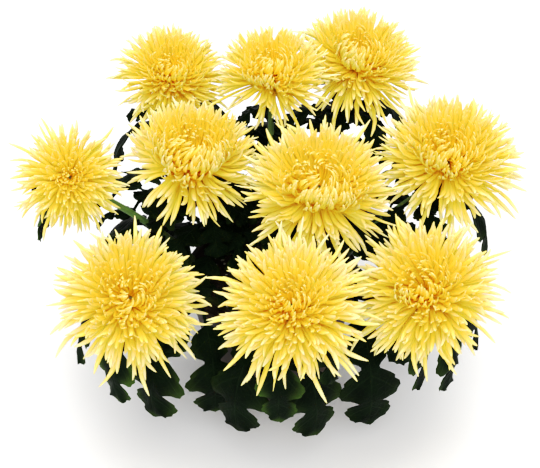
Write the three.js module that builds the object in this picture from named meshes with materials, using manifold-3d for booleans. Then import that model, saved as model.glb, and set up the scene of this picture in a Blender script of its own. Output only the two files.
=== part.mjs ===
// Potted chrysanthemum: ten spider blooms on leafy stems, standing in the soil of a plain tapered pot.
// Millimetres, +Z up, origin at the centre of the pot's foot, on the surface that it stands on.
// -Y is the side that the plant shows to its viewer.
import * as THREE from "three";
import { mergeVertices } from "three/addons/utils/BufferGeometryUtils.js";
import Module from "manifold-3d";

const wasm = await Module();
wasm.setup();

// Driving dimensions. Lengths in millimetres, angles in degrees.
const GAP = 0.3; // between solids that rest on each other
const POT = { height: 100, mouth: 65, foot: 47, wall: 2.2, floor: 3, band: 14, lip: 2.6, sides: 24 };
const DRAIN = { count: 6, radius: 4.5, ring: 33, sides: 6 };
const SOIL_TOP = POT.height - 10; // where the soil meets the pot's wall
const SOIL_CROWN = 5; // how much higher it stands in the middle
const STEM_RADIUS = 2.7;
const STEM_SIDES = 5;
const STEM_STEPS = 6;
const STEM_ROOT = 34; // length of each stem inside the soil
const STEM_RISE = 44; // a stem leaves the soil upright, on a handle this long
const STEM_NECK = 32; // and meets its bloom square, on a handle this long
// A bloom's domed core: its radius and height as shares of the bloom's reach, its flat seat on the
// calyx, and how deep the florets' roots are sunk in it.
const CORE = { radius: 0.44, height: 0.38, seat: -6, sides: 10, sunk: 5 };
const CALYX = { radius: 9.5, depth: 7 };
const FLORETS = 36; // on each bloom
const CROWDING = 1.25; // above 1, more of the florets stand in the outer rows
const FLORET_HALF_WIDTH = 4.7;
const FLORET_HALF_DEPTH = 1.7;
const FLORET_STEPS = 10; // in a floret's line
const FLORET_ROWS = [0, 6, 10]; // the steps where its solid has a row of corners
const GOLDEN_ANGLE = 137.508;
const BLOOM_MARGIN = 0.6; // a floret stays this far inside its own bloom's space
const OVERLAP = 35; // how far the planes between blooms lean
const LEAF_THICKNESS = 1.1;
const LEAF_CLEARANCE = 6.5; // least distance between points on two leaves
const STEM_CLEARANCE = 7; // least distance from a leaf to the middle of a stem
const POT_CLEARANCE = 4;
const LEAF_FLOOR = 9; // no leaf hangs lower than this above the surface

// The leaves of a stem in tiers, from the lowest, which hang over the pot's rim, to the ones close
// under the bloom. up is the share of the stem's line where the tier grows, and turns are headings
// from the stem's outward side.
const TIERS = [
  { up: 0.36, turns: [15, 55, -40], rise: 15, fall: -95, length: 120, width: 25 },
  { up: 0.56, turns: [-15, 10], rise: 35, fall: -85, length: 104, width: 18 },
  { up: 0.58, turns: [200], rise: 20, fall: -20, length: 76, width: 18 },
  { up: 0.66, turns: [60, -80], rise: 20, fall: -80, length: 80, width: 19 },
];
// The stems in the middle hold theirs out over the soil instead.
const MIDDLE_REACH = 90; // a stem is in the middle where its bloom is this close to the pot's axis
const MIDDLE_TIERS = [
  { up: 0.38, turns: [0, 110, -115], rise: 15, fall: -45, length: 80, width: 21 },
  { up: 0.5, turns: [70, 180, -60], rise: 5, fall: -25, length: 76, width: 18 },
];
const MOST_LEAVES = 6; // on one stem
const LEAF_TRIES = {
  swing: [0, 10, -10, 20, -20, 32, -32, 45, -45],
  droop: [0, 12, 24],
  shrink: [1, 0.88, 0.76, 0.64],
};
const STEEPEST = -100; // a leaf's tip turns down no further than this

// Each bloom: the point its florets grow from, the lift of its axis above the horizon, the turn of
// its axis from -Y towards +X, its reach from centre to tip, and where its stem leaves the soil.
const BLOOMS = [
  { at: [-80, 127, 193], lift: 66, turn: 30, reach: 57, foot: [-26, 32] },
  { at: [0, 92, 217], lift: 74, turn: 10, reach: 54, foot: [0, 24] },
  { at: [66, 127, 204], lift: 72, turn: 15, reach: 63, foot: [22, 33] },
  { at: [-148, 2, 191], lift: 42, turn: 15, reach: 49, foot: [-41, 2] },
  { at: [-60, 20, 189], lift: 72, turn: 40, reach: 64, foot: [-17, 2] },
  { at: [33, -11, 187], lift: 66, turn: 10, reach: 67, foot: [13, -6] },
  { at: [131, 29, 184], lift: 72, turn: 0, reach: 67, foot: [41, 8] },
  { at: [-100, -85, 150], lift: 54, turn: 15, reach: 64, foot: [-30, -25] },
  { at: [14, -100, 155], lift: 62, turn: -12, reach: 67, foot: [3, -36] },
  { at: [109, -78, 150], lift: 58, turn: -28, reach: 66, foot: [31, -22] },
];

const RAD = Math.PI / 180;
const mix = (a, b, t) => a + (b - a) * t;
const vec = (p) => new THREE.Vector3(...p);

// A direction from its turn about +Z, counted from +X, and its lift above the horizon.
const heading = (turn, lift) =>
  new THREE.Vector3(
    Math.cos(turn * RAD) * Math.cos(lift * RAD),
    Math.sin(turn * RAD) * Math.cos(lift * RAD),
    Math.sin(lift * RAD),
  );

const VIEW = heading(-90, 40); // towards the viewer

// A repeatable random draw from 0 to 1.
function dice(seed) {
  let state = seed;
  return () => {
    state = (state * 1664525 + 1013904223) % 4294967296;
    return state / 4294967296;
  };
}

// A closed geometry as a solid that can be joined and cut.
function solid(geometry) {
  const bare = geometry.clone();
  for (const name of ["normal", "uv"]) bare.deleteAttribute(name);
  const merged = mergeVertices(bare, 1e-3);
  return new wasm.Manifold(
    new wasm.Mesh({
      numProp: 3,
      vertProperties: new Float32Array(merged.attributes.position.array),
      triVerts: new Uint32Array(merged.index.array),
    }),
  );
}

// Several solids as one body. A space that joining seals is filled, and a loose scrap is dropped.
const joined = (solids) =>
  wasm.Manifold.union(solids)
    .decompose()
    .reduce((best, body) => (body.volume() > best.volume() ? body : best));

// A solid as a named mesh.
function mesh(name, shape, material) {
  const got = shape.getMesh();
  const geometry = new THREE.BufferGeometry();
  geometry.setAttribute("position", new THREE.BufferAttribute(got.vertProperties, 3));
  geometry.setIndex(new THREE.BufferAttribute(got.triVerts, 1));
  const flat = geometry.toNonIndexed();
  flat.computeVertexNormals();
  const made = new THREE.Mesh(flat, material);
  made.name = name;
  return made;
}

// A solid of revolution about +Z from (radius, height) pairs.
function turned(profile, sides) {
  const points = profile.map(([radius, height]) => new THREE.Vector2(radius, height));
  return new THREE.LatheGeometry(points, sides).rotateX(90 * RAD);
}

// The plant's own layout: each bloom's axes and its stem's line.
const plants = BLOOMS.map((bloom, index) => {
  const centre = vec(bloom.at);
  const axis = heading(bloom.turn - 90, bloom.lift);
  const foot = new THREE.Vector3(...bloom.foot, SOIL_TOP - STEM_ROOT);
  const line = new THREE.CubicBezierCurve3(
    foot,
    new THREE.Vector3(...bloom.foot, SOIL_TOP + STEM_RISE),
    centre.clone().addScaledVector(axis, -STEM_NECK),
    centre.clone().addScaledVector(axis, CORE.seat - GAP - 1),
  );
  const across = new THREE.Vector3(0, 0, 1).cross(axis).normalize();
  return { ...bloom, index, centre, axis, across, up: axis.clone().cross(across), line };
});

// A point in a bloom's own frame: x and y across its face, z along its axis.
const onBloom = (plant, x, y, z) =>
  plant.centre
    .clone()
    .addScaledVector(plant.across, x)
    .addScaledVector(plant.up, y)
    .addScaledVector(plant.axis, z);

// Planes that part each bloom's space from its neighbours'. A plane leans, so that the florets of
// the bloom nearer the viewer lie over the other's.
for (const plant of plants) {
  plant.planes = plants
    .filter((other) => other !== plant)
    .map((other) => {
      const apart = other.centre.clone().sub(plant.centre);
      const share = plant.reach / (plant.reach + other.reach);
      const through = plant.centre.clone().addScaledVector(apart, share);
      const normal = apart.clone().normalize();
      const lean = VIEW.clone().addScaledVector(normal, -VIEW.dot(normal)).normalize();
      const side = VIEW.dot(apart) < 0 ? -1 : 1;
      normal.multiplyScalar(Math.cos(OVERLAP * RAD)).addScaledVector(lean, side * Math.sin(OVERLAP * RAD));
      return { normal, level: through.dot(normal) };
    });
}

// The room that a point has inside a bloom's own space.
const roomInside = (plant, point) =>
  Math.min(...plant.planes.map(({ normal, level }) => level - point.dot(normal)));

// Half-width of a floret at a share of its length from root to tip, as a share of the widest.
const floretWidth = (along) =>
  along < 0.65 ? mix(0.45, 1, along / 0.65) : mix(1, 0, (along - 0.65) / 0.35);

// One floret's centre line. age runs from 0 at the outermost row to 1 at the heart: the outer florets
// reach out and droop, the inner ones are short and curl in over the heart.
function floretLine(plant, age, turn, draw) {
  const rootLift = mix(-6, 78, age) * RAD;
  const rootOut = (CORE.radius * plant.reach - CORE.sunk) * Math.cos(rootLift);
  const rootRise = (CORE.height * plant.reach - CORE.sunk) * Math.sin(rootLift) + 1;
  const length = plant.reach * mix(0.64, 0.3, Math.pow(age, 0.85)) * mix(0.92, 1.06, draw());
  const bend = mix(-24, 66, Math.pow(age, 0.9)) + mix(-10, 10, draw());
  const sideways = mix(-14, 14, draw());
  const start = mix(-3, 70, Math.pow(age, 1.1)) + mix(-4, 4, draw());
  for (let shrink = 1; ; shrink -= 0.08) {
    for (const raise of [0, 12, -12, 24, 36]) {
      const points = [];
      const stride = (length * shrink) / FLORET_STEPS;
      let out = rootOut;
      let rise = rootRise;
      let side = 0;
      for (let step = 0; step <= FLORET_STEPS; step++) {
        const angle = (turn + side / Math.max(out, 8) / RAD) * RAD;
        points.push(onBloom(plant, out * Math.cos(angle), out * Math.sin(angle), rise));
        const along = (step + 0.5) / FLORET_STEPS;
        const lift = (start + raise * Math.sqrt(along) + bend * along * along) * RAD;
        out += stride * Math.cos(lift);
        rise += stride * Math.sin(lift);
        side += stride * Math.sin(sideways * along * RAD);
      }
      const clear = points.every((point, step) => {
        const edge = FLORET_HALF_WIDTH * floretWidth(step / FLORET_STEPS);
        return step < 4 || roomInside(plant, point) > BLOOM_MARGIN + edge;
      });
      if (clear || shrink < 0.3) return points;
    }
  }
}

// A three-sided floret along its centre line, flat above, its root sunk in the core.
function floret(plant, points) {
  const geometry = new THREE.ConeGeometry(1, 1, 3, FLORET_ROWS.length - 1);
  const position = geometry.attributes.position;
  const last = FLORET_ROWS.length - 1;
  for (let i = 0; i < position.count; i++) {
    const row = Math.round((position.getY(i) + 0.5) * last);
    const step = FLORET_ROWS[row];
    const before = points[FLORET_ROWS[Math.max(row - 1, 0)]];
    const after = points[FLORET_ROWS[Math.min(row + 1, last)]];
    const run = after.clone().sub(before).normalize();
    const width = plant.axis.clone().cross(run).normalize();
    const depth = width.clone().cross(run);
    const size = floretWidth(step / FLORET_STEPS) / Math.max(1 - row / last, 1e-6);
    const place = points[step]
      .clone()
      .addScaledVector(width, position.getX(i) * size * FLORET_HALF_WIDTH)
      .addScaledVector(depth, position.getZ(i) * size * FLORET_HALF_DEPTH);
    position.setXYZ(i, place.x, place.y, place.z);
  }
  return solid(geometry);
}

// A matrix that carries a piece turned about +Z onto a bloom's centre and axis.
const bloomFrame = (plant) =>
  new THREE.Matrix4().makeBasis(plant.across, plant.up, plant.axis).setPosition(plant.centre);

// A bloom: a small domed core with florets standing out of it in a golden-angle spiral.
function bloomSolid(plant) {
  const draw = dice(101 + 17 * plant.index);
  const radius = CORE.radius * plant.reach;
  const top = CORE.height * plant.reach;
  const core = turned(
    [
      [0, CORE.seat],
      [CALYX.radius * 1.2, CORE.seat],
      [radius, 0],
      [radius * 0.82, top * 0.6],
      [0, top],
    ],
    CORE.sides,
  ).applyMatrix4(bloomFrame(plant));
  const parts = [solid(core)];
  for (let k = 0; k < FLORETS; k++) {
    const age = Math.pow((k + 0.5) / FLORETS, CROWDING);
    const points = floretLine(plant, age, k * GOLDEN_ANGLE, draw);
    parts.push(floret(plant, points));
  }
  return joined(parts);
}

// A pot of revolution with a plain band round its mouth and drain holes in its floor.
function potSolid() {
  const { height, mouth, foot, wall, floor, band, lip, sides } = POT;
  const radiusAt = (z) => mix(foot, mouth, z / height);
  const shell = turned(
    [
      [0, 0],
      [foot, 0],
      [radiusAt(height - band), height - band],
      [radiusAt(height - band) + lip, height - band],
      [mouth + lip, height],
      [mouth - wall, height],
      [foot - wall, floor],
      [0, floor],
    ],
    sides,
  );
  let pot = solid(shell);
  for (let k = 0; k < DRAIN.count; k++) {
    const turn = ((k + 0.5) * 360 * RAD) / DRAIN.count;
    const hole = new THREE.CylinderGeometry(DRAIN.radius, DRAIN.radius, 3 * floor, DRAIN.sides)
      .rotateX(90 * RAD)
      .translate(DRAIN.ring * Math.cos(turn), DRAIN.ring * Math.sin(turn), 0);
    pot = pot.subtract(solid(hole));
  }
  return pot;
}

// The soil fills the pot up to a low crown, with a plain hole for each stem.
function soilSolid() {
  const { height, mouth, foot, wall, floor } = POT;
  const slope = (mouth - foot) / (height - floor);
  const fill = turned(
    [
      [0, floor + GAP],
      [foot - wall - GAP, floor + GAP],
      [foot - wall - GAP + slope * (SOIL_TOP - floor - GAP), SOIL_TOP],
      [mouth * 0.5, SOIL_TOP + SOIL_CROWN * 0.6],
      [0, SOIL_TOP + SOIL_CROWN],
    ],
    POT.sides,
  );
  const holes = plants.map((plant) => stemRod(plant, STEM_RADIUS + GAP, GAP));
  return holes.reduce((soil, hole) => soil.subtract(hole), solid(fill));
}

// A round rod along a plant's stem line, set lower by drop.
function stemRod(plant, radius, drop) {
  const section = new THREE.Shape();
  for (let k = 0; k < STEM_SIDES; k++) {
    const turn = (k * 360 * RAD) / STEM_SIDES;
    const corner = [radius * Math.cos(turn), radius * Math.sin(turn)];
    if (k) section.lineTo(...corner);
    else section.moveTo(...corner);
  }
  const sweep = { steps: STEM_STEPS, extrudePath: plant.line, bevelEnabled: false };
  const rod = new THREE.ExtrudeGeometry(section, sweep);
  return solid(rod.translate(0, 0, -drop));
}

// The green cup under a bloom, which the bloom's core sits on.
function calyx(plant) {
  const top = CORE.seat - GAP;
  const cup = turned(
    [
      [0, top - CALYX.depth],
      [STEM_RADIUS * 1.2, top - CALYX.depth],
      [CALYX.radius, top - CALYX.depth * 0.3],
      [CALYX.radius, top],
      [0, top],
    ],
    CORE.sides,
  );
  return solid(cup.applyMatrix4(bloomFrame(plant)));
}

// A leaf's half-width down its length, from stalk to tip, as a share of its widest: stalk, then lobes
// and the notches between them. reach is how far down the blade a row stands, and sweep how far its
// edge leans to the tip.
const LEAF_OUTLINE = [
  { reach: 0, half: 0.06, sweep: 0 },
  { reach: 0.24, half: 0.08, sweep: 0 },
  { reach: 0.32, half: 0.66, sweep: 0.05 },
  { reach: 0.46, half: 0.32, sweep: 0.06 },
  { reach: 0.54, half: 1, sweep: 0.13 },
  { reach: 0.72, half: 0.38, sweep: 0.07 },
  { reach: 0.8, half: 0.66, sweep: 0.1 },
  { reach: 1, half: 0.16, sweep: 0 },
];
const RIB_STEPS = 24;
const LEAF_SAG = 0.24; // how far a leaf's edges hang below its rib, as a share of its half-width

// A leaf's middle surface as rows of three points: left edge, rib, right edge. Its rib leaves the
// stem at lift rise and bows over to lift fall.
function leafRows({ root, turn, rise, fall, length, width }) {
  const side = heading(turn + 90, 0);
  const liftAt = (share) => mix(rise, fall, Math.min(1, 1.2 * share));
  const rib = [root.clone()];
  for (let step = 0; step < RIB_STEPS; step++) {
    const stride = heading(turn, liftAt((step + 0.5) / RIB_STEPS)).multiplyScalar(length / RIB_STEPS);
    rib.push(rib[step].clone().add(stride));
  }
  const ribAt = (share) => {
    const place = Math.min(share, 1) * RIB_STEPS;
    const step = Math.min(Math.floor(place), RIB_STEPS - 1);
    return rib[step].clone().lerp(rib[step + 1], place - step);
  };
  return LEAF_OUTLINE.map(({ reach, half, sweep }) => {
    const normal = heading(turn, liftAt(reach) + 90);
    const edge = (sign) =>
      ribAt(reach + sweep)
        .addScaledVector(side, sign * half * width)
        .addScaledVector(normal, -LEAF_SAG * half * width);
    return [edge(1), ribAt(reach), edge(-1)];
  });
}

// A thin closed blade. Its two faces are the same grid of rows, split into triangles alike.
function blade(rows, thickness) {
  const wide = rows[0].length;
  const last = rows.length - 1;
  const top = (row, column) => row * wide + column;
  const under = (row, column) => (rows.length + row) * wide + column;
  const normals = rows.map((row, r) => {
    const run = rows[Math.min(r + 1, last)][1].clone().sub(rows[Math.max(r - 1, 0)][1]);
    return row[wide - 1].clone().sub(row[0]).cross(run).normalize();
  });
  const face = (offset) =>
    rows.flatMap((row, r) => row.map((p) => p.clone().addScaledVector(normals[r], offset)));
  const faces = [];
  const quad = (a, b, c, d) => faces.push(a, b, c, a, c, d);
  for (let r = 0; r < last; r++) {
    for (let c = 0; c < wide - 1; c++) {
      quad(top(r, c), top(r, c + 1), top(r + 1, c + 1), top(r + 1, c));
      quad(under(r, c), under(r + 1, c), under(r + 1, c + 1), under(r, c + 1));
    }
    quad(top(r, 0), top(r + 1, 0), under(r + 1, 0), under(r, 0));
    quad(top(r + 1, wide - 1), top(r, wide - 1), under(r, wide - 1), under(r + 1, wide - 1));
  }
  for (let c = 0; c < wide - 1; c++) {
    quad(top(0, c + 1), top(0, c), under(0, c), under(0, c + 1));
    quad(top(last, c), top(last, c + 1), under(last, c + 1), under(last, c));
  }
  const points = [...face(thickness / 2), ...face(-thickness / 2)];
  const geometry = new THREE.BufferGeometry().setFromPoints(points);
  return solid(geometry.setIndex(faces));
}

// Points spread over a leaf's surface, without its stalk's first stretch.
function leafPoints(rows) {
  const points = [];
  for (let r = 1; r < rows.length; r++) {
    for (const between of [0.5, 1]) {
      const row = rows[r].map((p, c) => rows[r - 1][c].clone().lerp(p, between));
      const [left, rib, right] = row;
      points.push(left, left.clone().lerp(rib, 0.5), rib, rib.clone().lerp(right, 0.5), right);
    }
  }
  return points;
}

// Whether a point is where a leaf can't be: in the pot or soil, too low, or among a bloom's florets.
function taken(point) {
  const round = Math.hypot(point.x, point.y);
  const wall = mix(POT.foot, POT.mouth, point.z / POT.height) + POT.lip + POT_CLEARANCE;
  if (point.z < LEAF_FLOOR || (point.z < POT.height + POT_CLEARANCE && round < wall)) return true;
  return plants.some((plant) => {
    const from = point.clone().sub(plant.centre);
    const height = from.dot(plant.axis);
    const out = Math.sqrt(Math.max(from.lengthSq() - height * height, 0));
    return out < plant.reach + 3 && height > -7 - 0.4 * out;
  });
}

const STEM_POINTS = plants.map((plant) => plant.line.getPoints(24));

// Places each stem's leaves tier by tier. A leaf that isn't clear where it is wanted swings, droops
// and at last shrinks until it is, and one that finds no room is left out.
function placeLeaves() {
  const placed = [];
  const grown = plants.map(() => []);
  const near = (p, q, least) => p.distanceToSquared(q) < least * least;
  const fits = (rows) => {
    const points = leafPoints(rows);
    if (points.some(taken)) return null;
    const free = points.slice(5);
    const nearStem = (p) => STEM_POINTS.some((stem) => stem.some((q) => near(p, q, STEM_CLEARANCE)));
    if (free.some(nearStem)) return null;
    if (points.some((p) => placed.some((q) => near(p, q, LEAF_CLEARANCE)))) return null;
    return points;
  };
  const frontFirst = [...plants].sort((a, b) => a.centre.y - b.centre.y);
  const growTier = (plant, tier) => {
    const outward = Math.atan2(plant.centre.y, plant.centre.x) / RAD;
    for (const wanted of tier.turns) {
      const leaves = grown[plant.index];
      if (leaves.length === MOST_LEAVES) return;
      const root = plant.line.getPoint(tier.up + 0.02 * leaves.length);
      const found = firstFit(tier, root, outward + wanted, fits);
      if (!found) continue;
      placed.push(...found.points);
      leaves.push(found.rows);
    }
  };
  for (let level = 0; level < TIERS.length; level++) {
    for (const plant of frontFirst) {
      const middle = Math.hypot(plant.centre.x, plant.centre.y) < MIDDLE_REACH;
      const tier = (middle ? MIDDLE_TIERS : TIERS)[level];
      if (tier) growTier(plant, tier);
    }
  }
  return grown;
}

// The first way of growing a leaf from a root that fits, or nothing.
function firstFit(tier, root, wanted, fits) {
  for (const shrink of LEAF_TRIES.shrink) {
    for (const droop of LEAF_TRIES.droop) {
      for (const swing of LEAF_TRIES.swing) {
        const leaf = {
          root,
          turn: wanted + swing,
          rise: tier.rise - droop,
          fall: Math.max(tier.fall - droop, STEEPEST),
          length: tier.length * shrink,
          width: tier.width * shrink,
        };
        const rows = leafRows(leaf);
        const points = fits(rows);
        if (points) return { rows, points };
      }
    }
  }
  return null;
}

// A leafy stem: the stem with its calyx and leaves in one piece, as it grew.
function leafyStem(plant, leaves) {
  const blades = leaves.map((rows) => blade(rows, LEAF_THICKNESS));
  return joined([stemRod(plant, STEM_RADIUS, 0), calyx(plant), ...blades]);
}

const material = (color, roughness) => new THREE.MeshStandardMaterial({ color, roughness, metalness: 0 });
const PETAL = material(0xf4cf3a, 0.6);
const LEAF = material(0x1f3a20, 0.5);
const PLASTIC = material(0x2c211b, 0.5);
const PEAT = material(0x2a1d15, 0.95);

const pottedPlant = new THREE.Group();
pottedPlant.add(mesh("pot", potSolid(), PLASTIC), mesh("soil", soilSolid(), PEAT));
const leaves = placeLeaves();
for (const plant of plants) {
  const number = plant.index + 1;
  pottedPlant.add(mesh(`bloom_${number}`, bloomSolid(plant), PETAL));
  pottedPlant.add(mesh(`leafy_stem_${number}`, leafyStem(plant, leaves[plant.index]), LEAF));
}

export default pottedPlant;
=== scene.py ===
import math

import bmesh
import bpy
import numpy as np
from mathutils import Matrix, Vector


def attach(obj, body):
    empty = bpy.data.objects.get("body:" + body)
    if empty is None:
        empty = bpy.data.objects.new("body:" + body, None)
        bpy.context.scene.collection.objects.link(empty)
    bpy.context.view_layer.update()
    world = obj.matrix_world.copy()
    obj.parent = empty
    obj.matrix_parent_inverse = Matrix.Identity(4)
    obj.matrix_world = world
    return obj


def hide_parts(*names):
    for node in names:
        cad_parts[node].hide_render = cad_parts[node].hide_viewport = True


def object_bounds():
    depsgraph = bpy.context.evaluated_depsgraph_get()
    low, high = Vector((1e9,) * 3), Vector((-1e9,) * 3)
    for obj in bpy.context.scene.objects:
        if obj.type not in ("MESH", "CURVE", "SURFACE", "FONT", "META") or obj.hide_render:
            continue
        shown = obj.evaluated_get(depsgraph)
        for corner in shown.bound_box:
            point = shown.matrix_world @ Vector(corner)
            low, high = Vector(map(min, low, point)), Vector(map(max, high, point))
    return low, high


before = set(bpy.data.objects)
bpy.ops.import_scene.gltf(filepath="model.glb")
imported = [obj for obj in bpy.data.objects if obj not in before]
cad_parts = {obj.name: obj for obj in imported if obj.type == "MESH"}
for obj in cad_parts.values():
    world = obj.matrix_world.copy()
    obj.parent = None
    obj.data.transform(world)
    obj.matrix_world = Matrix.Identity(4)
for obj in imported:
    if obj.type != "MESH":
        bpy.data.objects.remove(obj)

cad_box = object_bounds()

# The plant's plan, in millimetres and degrees. Everything is built in the frame's own axes, with -Y towards
# the viewer.
MM = 0.001
POT_HEIGHT = 100
POT_MOUTH = 65
POT_FOOT = 47
POT_WALL = 2.2
POT_FLOOR = 3
POT_BAND = 14
POT_LIP = 2.6
DRAIN_HOLES = 6
DRAIN_RADIUS = 4.5
DRAIN_RING = 33
SOIL_TOP = POT_HEIGHT - 10
SOIL_CROWN = 5
SOIL_GAP = 0.3
STEM_RADIUS = 2.7
STEM_ROOT = 34
STEM_RISE = 44
STEM_NECK = 32
SEAT = -6
SEAT_GAP = 0.3
CALYX_RADIUS = 9.5
CALYX_DEPTH = 7
OVERLAP = 35
BLOOM_MARGIN = 0.5
LEAF_CLEARANCE = 6.5
STEM_CLEARANCE = 7
POT_CLEARANCE = 4
LEAF_FLOOR = 9
LEAF_SAG = 0.24
BOW_RATE = 1.2
RIB_STEPS = 24
GOLDEN_ANGLE = 137.508

# Each bloom: the point its florets grow from, the lift of its axis above the horizon, the turn of its axis
# from -Y towards +X, its reach from centre to tip, where its stem leaves the soil, and how far its heart is
# curled in, from 0 for an open bloom to 1 for a tight ball.
BLOOMS = [
    ((-80, 127, 193), 66, 30, 57, (-26, 32), 0.5),
    ((0, 92, 217), 74, 10, 54, (0, 24), 0.8),
    ((66, 127, 204), 72, 15, 63, (22, 33), 0.6),
    ((-148, 2, 191), 42, 15, 49, (-41, 2), 0.15),
    ((-60, 20, 189), 72, 40, 64, (-17, 2), 1.0),
    ((33, -11, 187), 66, 10, 67, (13, -6), 0.9),
    ((131, 29, 184), 72, 0, 67, (41, 8), 0.5),
    ((-100, -85, 150), 54, 15, 64, (-30, -25), 0.6),
    ((14, -100, 155), 62, -12, 67, (3, -36), 0.2),
    ((109, -78, 150), 58, -28, 66, (31, -22), 0.4),
]

# The leaves of a stem in tiers, from the lowest: share of the stem's line, headings from the stem's outward
# side, lift where a leaf leaves the stem, lift of its tip, length and half-width. Each further leaf is
# rooted one step further up.
TIERS = [
    (0.36, (15, 55, -40), 15, -95, 120, 25),
    (0.56, (-15, 10), 35, -85, 104, 18),
    (0.58, (200,), 20, -20, 76, 18),
    (0.66, (60, -80), 20, -80, 80, 19),
]
MIDDLE_REACH = 90
MIDDLE_TIERS = [
    (0.38, (0, 110, -115), 15, -45, 80, 21),
    (0.5, (70, 180, -60), 5, -25, 76, 18),
]
ROOT_STEP = 0.02
MOST_LEAVES = 6
SWINGS = (0, 10, -10, 20, -20, 32, -32, 45, -45)
DROOPS = (0, 12, 24)
SHRINKS = (1, 0.88, 0.76, 0.64)
STEEPEST = -100

# Leaves keep out of a bloom's space, down to this far under its middle and further down the further out, and
# this far beside it.
UNDER_BLOOM = 7
BLOOM_SLOPE = 0.4
BESIDE_BLOOM = 3

# Smaller leaves fill in up each stem wherever there is room left. Their place on the stem's line, the
# lift of their tip and their length go from the lowest leaf to the topmost.
SMALL_LEAVES = 16
SMALL_SPREAD = (0.3, 0.88)
SMALL_RISE = 30
SMALL_FALL = (-82, -18)
SMALL_LENGTH = (66, 42)
SMALL_WIDTH = 15
SMALL_CLEARANCE = 3.0
SMALL_TURN = 60


def mix(a, b, t):
    return a + (b - a) * t


def unit(v):
    return v / np.linalg.norm(v, axis=-1, keepdims=True)


def heading(turn, lift):
    """A direction from its turn about +Z, counted from +X, and its lift above the horizon."""
    turn, lift = np.radians(turn), np.radians(lift)
    return np.stack([np.cos(turn) * np.cos(lift), np.sin(turn) * np.cos(lift), np.sin(lift)], axis=-1)


# The photograph looks down at the plant by this lift.
VIEW_LIFT = 40.0
TO_VIEWER = heading(-90.0, VIEW_LIFT)


class Plant:
    """One flowering stem: its bloom's centre and axes, and the line of its stem."""

    def __init__(self, index, at, lift, turn, reach, foot, curl):
        self.index = index
        self.number = index + 1
        self.centre = np.array(at, float)
        self.axis = heading(turn - 90.0, float(lift))
        self.across = unit(np.cross((0.0, 0.0, 1.0), self.axis))
        self.up = np.cross(self.axis, self.across)
        self.reach, self.curl = reach, curl
        self.handles = np.array([
            (*foot, SOIL_TOP - STEM_ROOT),
            (*foot, SOIL_TOP + STEM_RISE),
            self.centre - self.axis * STEM_NECK,
            self.centre + self.axis * (SEAT - SEAT_GAP - 1),
        ])

    def along_stem(self, share):
        """Points on the stem's line at shares of its length from the root."""
        t = np.asarray(share, float)[..., None]
        a, b, c, d = self.handles
        return (1 - t) ** 3 * a + 3 * (1 - t) ** 2 * t * b + 3 * (1 - t) * t ** 2 * c + t ** 3 * d

    def place(self, out, angle, rise):
        """Points from their distance to the bloom's axis, their turn about it and their height along it."""
        x = (out * np.cos(angle))[..., None]
        y = (out * np.sin(angle))[..., None]
        return self.centre + x * self.across + y * self.up + rise[..., None] * self.axis

    def room(self, points):
        """How far points lie inside this bloom's space, which its neighbours and the solids' box bound."""
        apart = np.min(self.levels - points @ self.normals.T, axis=-1)
        boxed = np.min(np.minimum(points - SOLID_LOW, SOLID_HIGH - points), axis=-1)
        return np.minimum(apart, boxed + BLOOM_MARGIN)


def part_blooms(plants):
    """Planes between the blooms, leaning so that the nearer bloom's florets lie over the other's."""
    for plant in plants:
        normals, levels = [], []
        for other in plants:
            if other is plant:
                continue
            apart = other.centre - plant.centre
            through = plant.centre + apart * plant.reach / (plant.reach + other.reach)
            straight = unit(apart)
            lean = unit(TO_VIEWER - straight * (TO_VIEWER @ straight))
            tilt = math.radians(-OVERLAP if TO_VIEWER @ apart < 0 else OVERLAP)
            normal = straight * math.cos(tilt) + lean * math.sin(tilt)
            normals.append(normal)
            levels.append(through @ normal)
        plant.normals, plant.levels = np.array(normals), np.array(levels)


SOLID_LOW, SOLID_HIGH = (np.array(corner) / MM for corner in cad_box)
plants = [Plant(index, *bloom) for index, bloom in enumerate(BLOOMS)]
part_blooms(plants)


# The plan of the leaves, worked out as for the solids: a leaf that isn't clear swings, droops and at last
# shrinks.
PLAN_REACH = np.array([0, 0.24, 0.32, 0.46, 0.54, 0.72, 0.8, 1])
PLAN_HALF = np.array([0.06, 0.08, 0.66, 0.32, 1, 0.38, 0.66, 0.16])
PLAN_SWEEP = np.array([0, 0, 0.05, 0.06, 0.13, 0.07, 0.1, 0])


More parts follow.
